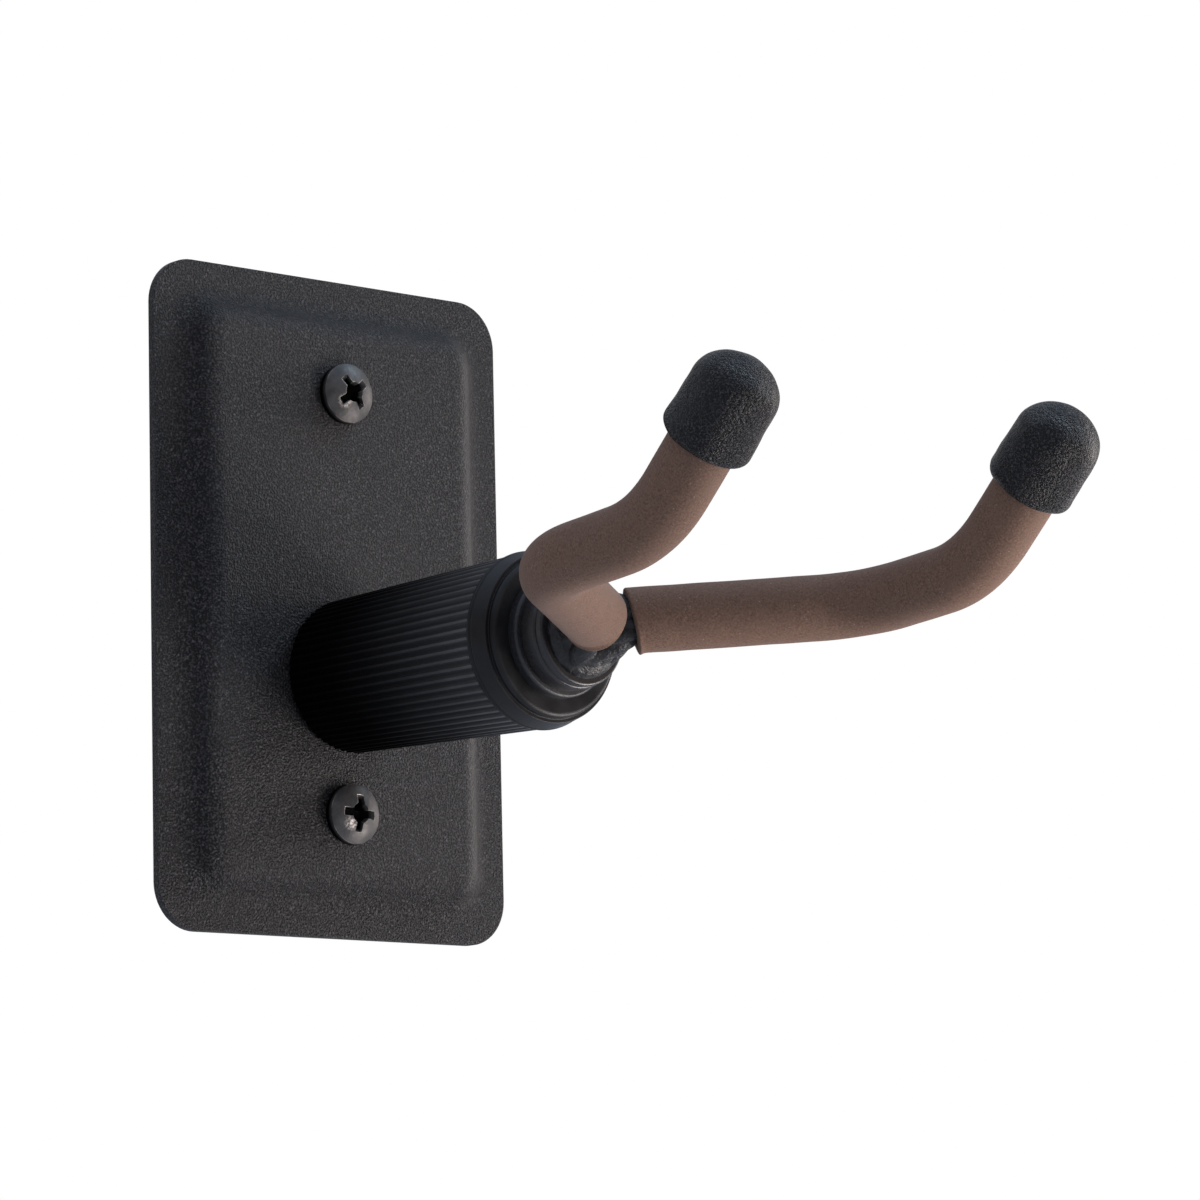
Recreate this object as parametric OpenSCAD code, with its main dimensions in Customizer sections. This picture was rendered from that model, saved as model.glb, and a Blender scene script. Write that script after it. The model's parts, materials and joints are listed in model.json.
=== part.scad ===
// Wall guitar hanger: a pressed wall plate, a ribbed hub and a padded fork that swivels on the hub.
// Millimetres. The origin is the centre of the plate's back, where it meets the wall.
// +Z is up, +X is to the right as seen from the room, and the hanger stands out from the wall towards -Y.

/* [Wall plate] */
// width of the plate
plate_w = 76.2; // [66:0.1:100]
// height of the plate
plate_h = 116.6; // [108:0.1:140]
// radius of the plate's corners
plate_corner_r = 8.2; // [5:0.1:12]
// thickness of the sheet
sheet_t = 1.5; // [1.2:0.1:1.8]
// height of the panel's front above the wall
pan_h = 5.6; // [5:0.1:7]
// width of the flat rim
rim_w = 3.5; // [3:0.1:6]
// width of the rounded step between the rim and the panel
step_w = 8.6; // [7:0.1:9]
// distance between the two wall screws
screw_spacing = 74.3; // [72:0.1:88]

/* [Wall screws] */
// radius of the screw head
screw_head_r = 5.25; // [4.6:0.05:6]
// height of the screw head
screw_head_h = 3.4; // [3:0.1:3.8]
// radius of the plain shank and of the thread's crest
screw_r = 2.4; // [2:0.05:2.6]
// length of screw behind the wall plane
screw_reach = 32; // [24:1:50]
// how far the upper screw's recess is turned
upper_recess_turn = 36; // [0:1:89]
// how far the lower screw's recess is turned
lower_recess_turn = 85; // [0:1:89]

/* [Hub] */
// height of the hub's axis above the plate's centre
hub_z = -13; // [-16:0.1:-8]
// radius of the barrel where it meets the plate
barrel_rear_r = 13.4; // [12.6:0.1:14]
// radius of the barrel where the ribs end
barrel_front_r = 14.8; // [14.2:0.1:16]
// distance from the wall to the end of the ribs
barrel_front = 55.8; // [45:0.1:70]
// number of ribs round the barrel
rib_count = 60; // [24:1:72]
// depth of the grooves between the ribs
groove_depth = 0.45; // [0.2:0.05:0.5]
// length of the smooth collar in front of the ribs
collar_l = 5.5; // [4.5:0.1:8]
// radius of the collar's front edge
collar_nose_r = 13.6; // [12.8:0.1:14]

/* [Fork] */
// radius of the steel rods
rod_r = 3.2; // [2.5:0.1:3.6]
// outer radius of the tubing
tube_r = 5.5; // [4.8:0.1:6]
// half of the distance between the two arms
arm_x = 35; // [32:0.1:42]
// angle between each leg and the wall
leg_angle = 37.6; // [34:0.1:46]
// rise of the fork's flat part
fork_rise = 5.2; // [0:0.1:8]
// angle of the upturned ends above the horizontal
tip_angle = 44; // [35:0.1:60]
// bend radius at the outer corners
corner_bend_r = 17.3; // [14:0.1:20]
// bend radius where the ends turn up
tip_bend_r = 22; // [16:0.1:24]
// distance from the outer corner to the upturn
prong_l = 25.4; // [22:0.1:60]
// distance from the upturn to the end of the cap
tip_l = 32.3; // [30:0.1:50]

/* [Tip caps] */
// largest radius of the cap
cap_r = 7.5; // [7.3:0.1:8.5]
// length of the cap
cap_l = 15.8; // [14:0.1:20]

/* [Swivel] */
// radius of the pivot pin
pin_r = 4.9; // [4.6:0.05:5]
// radius of the pin's threaded end
thread_r = 4; // [3.5:0.1:4]
// clearance between the pin and its bushings
running_gap = 0.05; // [0.02:0.01:0.09]

/* [Hidden] */
$fn = 96;

// colours
plate_colour = [0.17, 0.16, 0.17];
screw_colour = [0.26, 0.25, 0.25];
barrel_colour = [0.07, 0.07, 0.08];
collar_colour = [0.13, 0.14, 0.16];
nylon_colour = [0.2, 0.2, 0.2];
steel_colour = [0.6, 0.61, 0.63];
fork_colour = [0.05, 0.05, 0.05];
tube_colour = [0.33, 0.29, 0.27];
cap_colour = [0.15, 0.15, 0.16];
insert_colour = [0.85, 0.85, 0.8];

seat_gap = 0.02;            // gap between two parts that are pressed together
over = 1;                   // how far a cutter runs past the solid it cuts

// plate
step_rise = pan_h - sheet_t;
step_turn = 2 * atan(step_rise / step_w);
step_r = step_w / (2 * sin(step_turn));
pan_corner_r = step_w + 0.8; // corner radius of the foot of the step
pan_centre = rim_w + pan_corner_r;
boss_r = 9.5;               // boss that locates the hub
boss_h = 2.5;
boss_front = pan_h + boss_h;
pin_hole_r = thread_r + 0.2;
screw_hole_r = screw_r + 0.6;

// wall screws
screw_crown_r = 8.5;        // radius of the head's dome
recess_depth = 2.6;
recess_top_r = 3.9;
recess_floor_r = 1.5;
recess_slot_w = 1.45;
recess_pit_r = 1.9;         // round middle of the recess
recess_pit_floor_r = 1;
screw_neck_r = screw_r + 0.25;
screw_root_r = screw_r - 0.7;
plain_l = 9;                // plain shank behind the wall plane
thread_pitch = 2.1;
thread_crest = 0.3;
point_l = 5;

// barrel and collar, as distances from the wall
rear_wall_front = 13;
front_socket_l = 5.3;       // length of the collar's spigot inside the barrel
socket_r = 12.2;
barrel_bore_r = 10.2;
bush_r = 6.4;
collar_front = barrel_front + collar_l;
bead_r = barrel_front_r + 0.3;
bead_half = 0.6;            // half of the bead's length
rear_chamfer = 0.8;         // chamfer of the barrel's rear edge
core_seat_r = 8.3;
core_front = barrel_front - 2.3;

// bushings and washers
bush_flange_t = 1.5;
front_flange_r = 10.4;
front_flange_t = 1.9;
thrust_r = 9.4;
thrust_t = 3.5;
pin_head_r = 9.1;           // flange of the pin that the rods are welded to
pin_head_t = 1.5;
core_r = 8.2;
core_bore_r = 6.2;
edge_r = 0.5;               // small edge rounding on the turned parts

bush_front = collar_front + front_flange_t;
thrust_front = bush_front + thrust_t;
pin_front = thrust_front + pin_head_t;

// parts behind the plate
hollow_floor = boss_front - sheet_t;
washer_t = 1.2;
washer_r = 7.8;
spring_t = 0.6;
spring_cone = 0.3;
spring_r = 7.2;
nut_flats = 12.7;
nut_hex_t = 2.9;
nut_crown_t = 1.4;
nut_crown_r = 5.9;
nut_corner_cut = 0.5;
insert_r = 5.1;
insert_t = 0.9;
washer_rear = hollow_floor - washer_t;
spring_rear = washer_rear - spring_t - spring_cone;
nut_rear = spring_rear - nut_hex_t - nut_crown_t;
pin_rear = nut_rear;

// fork
apex_y = collar_front + 11.3; // where the rods' centre lines meet
apex_z = 0.9;               // the rods sit a little above the pin's axis
bend_swell = 0.02;          // a bar is a touch thicker where it is squeezed round a bend
bend_lap = 0.5;             // how far a straight stretch runs into a bend
rod_start = 3;              // first bit of the legs that is left out, so the rods don't meet
tube_start = 5;
cut_slant = 10;             // the tubing's inner ends are cut at a slight angle
cut_run = tube_r * tan(cut_slant); // how far the cut runs to either side of tube_start
corner_turn = 90 - leg_angle;
corner_tangent = corner_bend_r * tan(corner_turn / 2);
leg_l = arm_x / cos(leg_angle);
tip_turn = tip_angle - fork_rise;
tip_tangent = tip_bend_r * tan(tip_turn / 2);
straight_l = prong_l - corner_tangent - tip_tangent;
tip_straight = tip_l - tip_tangent;
cap_wall = 4.3;             // thickness of the cap's end
cap_rim_r = 1.6;
cap_shoulder_r = 5;         // rounding between the cap's side and its end
cap_crown_r = 8;            // radius of the domed end
cap_taper = 0.2;
tube_end_gap = 0.6;         // the tubing stops just short of the bottom of the cap
weld_r = 8.6;               // radius of the weld where it meets the pin's head
weld_l = 8.4;

// ---------------------------------------------------------------- helpers

// Turns a shape drawn along +Z so that it runs along -Y, out from the wall.
module outwards() {
    rotate([90, 0, 0]) children();
}

// Puts children on the hub's axis, running out from the wall.
module on_hub() {
    translate([0, 0, hub_z]) outwards() children();
}

module tube_shape(outer, inner, from, to) {
    translate([0, 0, from])
        difference() {
            cylinder(h = to - from, r = outer);
            translate([0, 0, -over]) cylinder(h = to - from + 2 * over, r = inner);
        }
}

// A turned ring with rounded outer corners at its front.
module ring_shape(outer, inner, from, to) {
    translate([0, 0, from])
        rotate_extrude()
            union() {
                translate([inner, 0]) square([outer - inner, to - from - edge_r]);
                translate([inner, 0]) square([outer - inner - edge_r, to - from]);
                translate([outer - edge_r, to - from - edge_r]) circle(r = edge_r);
            }
}

module rounded_slab(w, h, r, from, to) {
    translate([0, 0, from])
        linear_extrude(height = to - from)
            union() {
                square([w - 2 * r, h], center = true);
                square([w, h - 2 * r], center = true);
                for (x = [-1, 1])
                    for (y = [-1, 1])
                        translate([x * (w / 2 - r), y * (h / 2 - r)]) circle(r = r);
            }
}

// ---------------------------------------------------------------- wall plate

// A wedge from the origin between two angles, wide enough to cut the small arcs of the step.
module wedge(from, to) {
    reach = 30;
    mid = (from + to) / 2;
    polygon([
        [0, 0],
        [reach * cos(from), reach * sin(from)],
        [reach * cos(mid), reach * sin(mid)],
        [reach * cos(to), reach * sin(to)]
    ]);
}

module arc_band(outer, inner, from, to) {
    intersection() {
        difference() {
            circle(r = outer);
            circle(r = inner);
        }
        wedge(from, to);
    }
}

// Section of the step. x is the distance inwards from the plate's edge and y the height above the wall.
module step_section() {
    translate([rim_w + step_w, pan_h - step_r])
        arc_band(step_r, step_r - sheet_t, 90, 90 + step_turn);
    translate([rim_w, sheet_t + step_r])
        arc_band(step_r + sheet_t, step_r, 270, 270 + step_turn);
}

// The same section, measured inwards from a corner's centre.
module step_corner_section() {
    intersection() {
        translate([pan_centre, 0]) mirror([1, 0]) step_section();
        square([pan_centre, pan_h]);
    }
}

module step_side(length, edge) {
    translate([-edge, 0, 0])
        rotate([90, 0, 0])
            linear_extrude(height = length, center = true) step_section();
}

module plate_pan() {
    side_y = plate_h - 2 * pan_centre;
    side_x = plate_w - 2 * pan_centre;
    for (turn = [0, 180]) {
        rotate([0, 0, turn]) step_side(side_y, plate_w / 2);
        rotate([0, 0, turn + 90]) step_side(side_x, plate_h / 2);
    }
    for (corner = [[1, 1, 0], [-1, 1, 90], [-1, -1, 180], [1, -1, 270]])
        translate([corner[0] * side_x / 2, corner[1] * side_y / 2, 0])
            rotate([0, 0, corner[2]])
                rotate_extrude(angle = 90) step_corner_section();
}

module plate_rim() {
    difference() {
        rounded_slab(plate_w, plate_h, plate_corner_r, 0, sheet_t);
        rounded_slab(plate_w - 2 * rim_w, plate_h - 2 * rim_w, pan_corner_r, -over, sheet_t + over);
    }
}

module plate_panel() {
    inset = 2 * (rim_w + step_w);
    rounded_slab(plate_w - inset, plate_h - inset, pan_corner_r - step_w, pan_h - sheet_t, pan_h);
}

module screw_holes() {
    for (side = [-1, 1])
        translate([0, side * screw_spacing / 2, -over])
            cylinder(h = pan_h + 2 * over, r = screw_hole_r);
}

module wall_plate() {
    color(plate_colour)
        outwards()
            difference() {
                union() {
                    plate_rim();
                    plate_pan();
                    plate_panel();
                    translate([0, hub_z, pan_h - sheet_t]) cylinder(h = boss_h + sheet_t, r = boss_r);
                }
                translate([0, hub_z, -over]) cylinder(h = hollow_floor + over, r = boss_r - sheet_t);
                translate([0, hub_z, 0]) cylinder(h = boss_front + over, r = pin_hole_r);
                screw_holes();
            }
}

// ---------------------------------------------------------------- wall screws

// A cone that opens upwards from floor_r to top_r at z = 0 and goes on past it.
module recess_cone(floor_r, top_r) {
    translate([0, 0, -recess_depth])
        cylinder(h = recess_depth + over, r1 = floor_r,
                 r2 = top_r + (top_r - floor_r) * over / recess_depth);
}

module screw_recess(turn) {
    recess_cone(recess_pit_floor_r, recess_pit_r);
    rotate([0, 0, turn])
        intersection() {
            recess_cone(recess_floor_r, recess_top_r);
            for (arm = [0, 90])
                rotate([0, 0, arm])
                    cube([2 * recess_top_r + 4, recess_slot_w, 4 * recess_depth], center = true);
        }
}

// A domed head that sits on z = 0.
module screw_head() {
    intersection() {
        cylinder(h = screw_head_h, r = screw_head_r);
        translate([0, 0, screw_head_h - screw_crown_r]) sphere(r = screw_crown_r);
    }
}

module thread_turns(length) {
    turns = floor(length / thread_pitch);
    rise = (thread_pitch - thread_crest) / 2;
    for (i = [0 : turns - 1])
        translate([0, 0, -(i + 1) * thread_pitch])
            rotate_extrude()
                polygon([
                    [0, 0],
                    [screw_root_r, 0],
                    [screw_r, rise],
                    [screw_r, rise + thread_crest],
                    [screw_root_r, thread_pitch],
                    [0, thread_pitch]
                ]);
}

module wall_screw(turn) {
    thread_l = screw_reach - plain_l - point_l;
    full_turns = floor(thread_l / thread_pitch) * thread_pitch;
    difference() {
        union() {
            translate([0, 0, pan_h]) screw_head();
            cylinder(h = pan_h, r = screw_neck_r);
            translate([0, 0, -plain_l]) cylinder(h = plain_l, r = screw_r);
            translate([0, 0, -plain_l]) thread_turns(thread_l);
            translate([0, 0, -screw_reach])
                cylinder(h = screw_reach - plain_l - full_turns, r1 = 0, r2 = screw_root_r);
        }
        translate([0, 0, pan_h + screw_head_h]) screw_recess(turn);
    }
}

module wall_screw_upper() {
    color(screw_colour)
        translate([0, 0, screw_spacing / 2]) outwards() wall_screw(upper_recess_turn);
}

module wall_screw_lower() {
    color(screw_colour)
        translate([0, 0, -screw_spacing / 2]) outwards() wall_screw(lower_recess_turn);
}

// ---------------------------------------------------------------- hub

module barrel_skin() {
    intersection() {
        translate([0, 0, pan_h])
            cylinder(h = barrel_front - pan_h, r1 = barrel_rear_r, r2 = barrel_front_r);
        translate([0, 0, pan_h])
            cylinder(h = barrel_front - pan_h, r1 = barrel_rear_r - rear_chamfer,
                     r2 = barrel_rear_r - rear_chamfer + barrel_front - pan_h);
    }
}

// One round groove that follows the taper of the barrel.
module groove() {
    groove_r = 0.58;
    length = barrel_front - pan_h;
    lean = atan((barrel_front_r - barrel_rear_r) / length);
    translate([barrel_rear_r + groove_r - groove_depth, 0, pan_h])
        rotate([0, lean, 0])
            translate([0, 0, -over]) cylinder(h = length / cos(lean) + 2 * over, r = groove_r, $fn = 24);
}

module hub_barrel() {
    color(barrel_colour)
        on_hub()
            difference() {
                barrel_skin();
                for (i = [0 : rib_count - 1])
                    rotate([0, 0, i * 360 / rib_count]) groove();
                translate([0, 0, pan_h - over]) cylinder(h = boss_h + over, r = boss_r + seat_gap);
                cylinder(h = barrel_front, r = bush_r + seat_gap);
                translate([0, 0, rear_wall_front])
                    cylinder(h = barrel_front - rear_wall_front, r = barrel_bore_r);
                translate([0, 0, barrel_front - front_socket_l])
                    cylinder(h = front_socket_l + over, r = socket_r);
            }
}

// The collar's outline from its seam with the barrel to its front edge: a bead, a cone, then a
// slightly smaller rounded nose.
module collar_section() {
    nose_l = 1.3;
    nose_round = 0.9;
    cone_foot = barrel_front + 2 * bead_half;
    cone_top = collar_front - nose_l;
    cone_top_r = collar_nose_r + 0.7;
    union() {
        translate([0, barrel_front]) square([bead_r - bead_half, 2 * bead_half]);
        intersection() {
            translate([bead_r - bead_half, barrel_front + bead_half]) circle(r = bead_half);
            translate([0, barrel_front]) square([bead_r + 1, 2 * bead_half]);
        }
        polygon([
            [0, cone_foot],
            [bead_r - 0.15, cone_foot],
            [cone_top_r, cone_top],
            [0, cone_top]
        ]);
        translate([0, cone_top]) square([collar_nose_r, nose_l - nose_round]);
        translate([0, collar_front - nose_round]) square([collar_nose_r - nose_round, nose_round]);
        intersection() {
            translate([collar_nose_r - nose_round, collar_front - nose_round]) circle(r = nose_round);
            translate([0, collar_front - nose_round]) square([collar_nose_r + 1, nose_round]);
        }
    }
}

module hub_collar() {
    color(collar_colour)
        on_hub()
            difference() {
                union() {
                    rotate_extrude() collar_section();
                    translate([0, 0, barrel_front - front_socket_l])
                        cylinder(h = front_socket_l, r = socket_r - seat_gap);
                }
                cylinder(h = collar_front + over, r = bush_r + seat_gap);
                cylinder(h = core_front, r = core_seat_r);
            }
}

module rear_bushing() {
    color(nylon_colour)
        on_hub() {
            tube_shape(bush_r, pin_r + running_gap, boss_front, rear_wall_front);
            tube_shape(core_r, pin_r + running_gap, rear_wall_front, rear_wall_front + bush_flange_t);
        }
}

module core_tube() {
    color(steel_colour)
        on_hub() tube_shape(core_r, core_bore_r, rear_wall_front + bush_flange_t, core_front);
}

module front_bushing() {
    color(nylon_colour)
        on_hub() {
            tube_shape(bush_r, pin_r + running_gap, core_front, collar_front);
            ring_shape(front_flange_r, pin_r + running_gap, collar_front, bush_front);
        }
}

module thrust_washer() {
    color(fork_colour)
        on_hub() ring_shape(thrust_r, pin_r + seat_gap, bush_front, thrust_front);
}

module pivot_pin() {
    thread_chamfer = 0.6;
    color(fork_colour)
        on_hub() {
            ring_shape(pin_head_r, 0, thrust_front, pin_front);
            translate([0, 0, boss_front + seat_gap])
                cylinder(h = thrust_front - boss_front - seat_gap, r = pin_r);
            translate([0, 0, pin_rear + thread_chamfer])
                cylinder(h = boss_front - pin_rear, r = thread_r);
            translate([0, 0, pin_rear])
                cylinder(h = thread_chamfer, r1 = thread_r - thread_chamfer, r2 = thread_r);
        }
}

// ---------------------------------------------------------------- parts behind the plate

module rear_washer() {
    color(steel_colour)
        on_hub() tube_shape(washer_r, pin_hole_r, washer_rear, hollow_floor);
}

module disc_spring() {
    rim = spring_r;
    bore = thread_r + 0.15;
    color(steel_colour)
        on_hub()
            translate([0, 0, spring_rear])
                rotate_extrude()
                    polygon([
                        [bore, 0],
                        [rim, spring_cone],
                        [rim, spring_cone + spring_t],
                        [bore, spring_t]
                    ]);
}

module lock_nut() {
    corner_r = nut_flats / 2 / cos(30);
    color(steel_colour)
        on_hub()
            translate([0, 0, nut_rear])
                difference() {
                    union() {
                        cylinder(h = nut_crown_t, r1 = nut_crown_r - nut_corner_cut, r2 = nut_crown_r);
                        intersection() {
                            translate([0, 0, nut_crown_t])
                                linear_extrude(height = nut_hex_t) circle(r = corner_r, $fn = 6);
                            cylinder(h = nut_crown_t + nut_hex_t, r1 = nut_crown_r - nut_corner_cut,
                                     r2 = nut_crown_r + nut_crown_t + nut_hex_t);
                        }
                    }
                    translate([0, 0, -over])
                        cylinder(h = nut_crown_t + nut_hex_t + 2 * over, r = thread_r + seat_gap);
                    translate([0, 0, (nut_crown_t - insert_t) / 2])
                        cylinder(h = insert_t, r = insert_r);
                }
}

module nut_insert() {
    from = nut_rear + (nut_crown_t - insert_t) / 2;
    color(insert_colour)
        on_hub() tube_shape(insert_r, thread_r + seat_gap, from, from + insert_t);
}

// ---------------------------------------------------------------- fork

// Puts children in the fork's own frame: the origin is where the rods' centre lines meet, the
// legs run forwards along -Y, and side is 1 for the right arm and -1 for the left.
module fork_frame(side) {
    translate([0, -apex_y, hub_z + apex_z])
        rotate([-fork_rise, 0, 0])
            mirror([side < 0 ? 1 : 0, 0, 0]) children();
}

module along_leg() {
    rotate([0, 0, 90 - leg_angle]) children();
}

module at_corner() {
    translate([arm_x - corner_bend_r, -arm_x * tan(leg_angle) - corner_tangent, 0]) children();
}

module at_prong_end() {
    at_corner() translate([corner_bend_r, -straight_l, 0]) children();
}

module at_tip() {
    at_prong_end()
        translate([0, 0, tip_bend_r])
            rotate([-tip_turn, 0, 0])
                translate([0, 0, -tip_bend_r]) children();
}

module bend(bend_r, turn, r) {
    rotate_extrude(angle = turn) translate([bend_r, 0]) circle(r = r + bend_swell, $fn = 48);
}

// A straight stretch along -Y that runs a little way into the bends at its ends.
module stretch(r, from, to) {
    translate([0, -from, 0]) outwards() cylinder(h = to - from, r = r, $fn = 48);
}

// One arm as a round bar that follows the bends, from a point on the leg to a point on the tip.
module arm_bar(r, leg_from, tip_to) {
    along_leg() stretch(r, leg_from, leg_l - corner_tangent + bend_lap);
    at_corner() bend(corner_bend_r, corner_turn, r);
    at_corner() translate([corner_bend_r, 0, 0]) stretch(r, -bend_lap, straight_l + bend_lap);
    at_prong_end()
        translate([0, 0, tip_bend_r]) rotate([0, 90, 180]) bend(tip_bend_r, tip_turn, r);
    at_tip() stretch(r, -bend_lap, tip_to);
}

module arm_rod(side) {
    color(fork_colour)
        fork_frame(side) arm_bar(rod_r, rod_start, tip_straight - cap_wall - tube_end_gap);
}

// Everything behind the slanting cut at a tube's inner end.
module end_cut() {
    reach = 4 * tube_r;
    along_leg()
        translate([0, -tube_start, 0])
            rotate([-cut_slant, 0, 0])
                translate([-reach / 2, 0, -reach / 2]) cube(reach);
}

module arm_tube(side) {
    end = tip_straight - cap_wall - tube_end_gap;
    color(tube_colour)
        fork_frame(side)
            difference() {
                arm_bar(tube_r, tube_start - cut_run - over, end);
                arm_bar(rod_r + running_gap, tube_start - cut_run - 2 * over, end + over);
                end_cut();
            }
}

module arm_rod_left() arm_rod(-1);
module arm_rod_right() arm_rod(1);
module arm_tube_left() arm_tube(-1);
module arm_tube_right() arm_tube(1);

// Outline of a cap that runs from z = 0, its open rim, to its domed blunt end.
module cap_section() {
    end_r = cap_r - cap_taper;
    crown_z = cap_l - cap_crown_r;
    // the shoulder's arc touches both the side and the crown
    shoulder_x = end_r - cap_shoulder_r;
    shoulder_rise = sqrt(pow(cap_crown_r - cap_shoulder_r, 2) - pow(shoulder_x, 2));
    shoulder_z = crown_z + shoulder_rise;
    // enough for the crown's wedge to reach past the dome
    reach = 1.2 * cap_crown_r / shoulder_rise;
    union() {
        polygon([
            [0, cap_rim_r],
            [cap_r, cap_rim_r],
            [end_r, shoulder_z],
            [shoulder_x, shoulder_z],
            [0, crown_z]
        ]);
        square([cap_r - cap_rim_r, cap_rim_r]);
        intersection() {
            translate([cap_r - cap_rim_r, cap_rim_r]) circle(r = cap_rim_r);
            square([cap_r, cap_rim_r]);
        }
        intersection() {
            translate([shoulder_x, shoulder_z]) circle(r = cap_shoulder_r);
            translate([0, shoulder_z]) square([end_r, cap_shoulder_r]);
        }
        intersection() {
            translate([0, crown_z]) circle(r = cap_crown_r);
            polygon([
                [0, crown_z],
                [reach * shoulder_x, crown_z + reach * shoulder_rise],
                [0, crown_z + reach * shoulder_rise]
            ]);
        }
    }
}

module tip_cap(side) {
    color(cap_colour)
        fork_frame(side)
            at_tip()
                outwards()
                    translate([0, 0, tip_straight - cap_l])
                        difference() {
                            rotate_extrude() cap_section();
                            translate([0, 0, -over])
                                cylinder(h = cap_l - cap_wall + over, r = tube_r + running_gap);
                        }
}

module tip_cap_left() tip_cap(-1);
module tip_cap_right() tip_cap(1);

// The weld is a dome on the pin's head, from which the rods and their tubing stand out.
module weld_bead() {
    bore_gap = 0.1;         // keeps the weld clear of the tubing's cut ends
    color(fork_colour)
        difference() {
            on_hub()
                translate([0, 0, pin_front])
                    intersection() {
                        cylinder(h = weld_l, r = weld_r);
                        translate([0, 0, weld_l - weld_r]) sphere(r = weld_r);
                    }
            for (side = [-1, 1])
                fork_frame(side)
                    along_leg() {
                        stretch(rod_r + seat_gap, rod_start - seat_gap, leg_l / 2);
                        stretch(tube_r + bore_gap, tube_start - cut_run - bore_gap, leg_l / 2);
                    }
        }
}

// ---------------------------------------------------------------- assembly

wall_plate();
wall_screw_upper();
wall_screw_lower();
hub_barrel();
hub_collar();
front_bushing();
rear_bushing();
core_tube();
thrust_washer();
pivot_pin();
weld_bead();
arm_rod_left();
arm_rod_right();
arm_tube_left();
arm_tube_right();
tip_cap_left();
tip_cap_right();
rear_washer();
disc_spring();
lock_nut();
nut_insert();
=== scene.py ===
import json
import math

import bmesh
import bpy
from mathutils import Matrix, Vector, noise

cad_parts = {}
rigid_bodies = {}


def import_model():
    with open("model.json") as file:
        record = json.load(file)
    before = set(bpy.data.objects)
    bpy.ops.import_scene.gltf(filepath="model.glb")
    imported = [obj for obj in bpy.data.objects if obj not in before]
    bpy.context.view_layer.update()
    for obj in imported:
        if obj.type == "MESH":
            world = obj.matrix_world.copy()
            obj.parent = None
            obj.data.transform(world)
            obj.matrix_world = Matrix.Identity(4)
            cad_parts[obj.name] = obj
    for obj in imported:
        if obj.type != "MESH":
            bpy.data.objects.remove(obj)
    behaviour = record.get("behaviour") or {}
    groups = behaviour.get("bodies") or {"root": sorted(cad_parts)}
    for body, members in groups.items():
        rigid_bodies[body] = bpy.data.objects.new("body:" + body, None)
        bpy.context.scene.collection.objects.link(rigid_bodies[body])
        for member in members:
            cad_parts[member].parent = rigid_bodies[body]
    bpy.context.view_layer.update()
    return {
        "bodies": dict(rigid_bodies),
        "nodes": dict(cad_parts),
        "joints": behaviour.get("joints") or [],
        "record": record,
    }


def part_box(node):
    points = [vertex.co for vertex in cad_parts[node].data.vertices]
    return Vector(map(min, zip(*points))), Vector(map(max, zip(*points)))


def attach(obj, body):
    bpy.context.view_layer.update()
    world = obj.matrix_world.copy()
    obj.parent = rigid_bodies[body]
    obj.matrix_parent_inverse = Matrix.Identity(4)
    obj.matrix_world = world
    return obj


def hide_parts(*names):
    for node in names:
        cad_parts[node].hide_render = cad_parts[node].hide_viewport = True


# The looks of a wall guitar hanger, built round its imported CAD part. Metres: +Z is up, the wall is
# the plane y = 0 and the hanger stands out from it towards -Y.

MM = 0.001
SIDES = {"left": -1, "right": 1}

# the fork, in its own frame: the legs leave the origin at an angle, bend to run forwards along -Y
# and then turn up
ROD_R = 3.2 * MM
TUBE_R = 5.5 * MM
BORE_GAP = 0.05 * MM
ARM_X = 35 * MM
LEG_ANGLE = math.radians(37.6)
FORK_RISE = math.radians(5.2)
TIP_RISE = math.radians(44)
TIP_TURN = TIP_RISE - FORK_RISE
CORNER_BEND_R = 17.3 * MM
TIP_BEND_R = 22 * MM
PRONG_L = 25.4 * MM
TIP_L = 32.3 * MM
APEX_AHEAD = 11.3 * MM      # the legs meet this far in front of the collar
APEX_ABOVE = 0.9 * MM       # and this far above the hub's axis
TUBE_START = 5 * MM
TUBE_END_GAP = 0.6 * MM
TUBE_UNEVEN = 0.05 * MM     # how much the tubing's radius wanders
TUBE_WAVE = 5 * MM          # and over what length
CUT_SLANT = math.radians(10)
CUT_FADES = 6 * MM          # the slant is gone this far from the cut
CUT_ROUND = 0.45 * MM       # rounding of the tubing's cut edge
LIP_L = 1.4 * MM            # length of the lip that the cut leaves below
LIP_DROP = {"left": 0.75 * MM, "right": 0.45 * MM}

CAP_R = 7.5 * MM
CAP_L = 15.8 * MM
CAP_WALL = 4.3 * MM
CAP_TAPER = 0.2 * MM
CAP_RIM_R = 1.6 * MM
CAP_SHOULDER_R = 5 * MM
CAP_CROWN_R = 8 * MM
CAP_UNEVEN = 0.16 * MM      # how much the cap's surface wanders
CAP_LUMP = 3.2 * MM         # and the size of its lumps

# the hub's barrel narrows towards the wall and has grooves along it
BARREL_TAPER = 1.4 / 50.2   # radius lost for each unit of length
GROOVE_DEPTH = 0.45 * MM
PLATE_SHADE_L = 9 * MM        # the part of the barrel next to the plate that is painted dark, as shade
SCREW_CROWN_R = 8.5 * MM    # radius of the dome of a screw's head

CORNER_TURN = math.pi / 2 - LEG_ANGLE
CORNER_TANGENT = CORNER_BEND_R * math.tan(CORNER_TURN / 2)
TIP_TANGENT = TIP_BEND_R * math.tan(TIP_TURN / 2)
LEG_STRAIGHT = ARM_X / math.cos(LEG_ANGLE) - CORNER_TANGENT
PRONG_STRAIGHT = PRONG_L - CORNER_TANGENT - TIP_TANGENT
TIP_STRAIGHT = TIP_L - TIP_TANGENT

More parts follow.
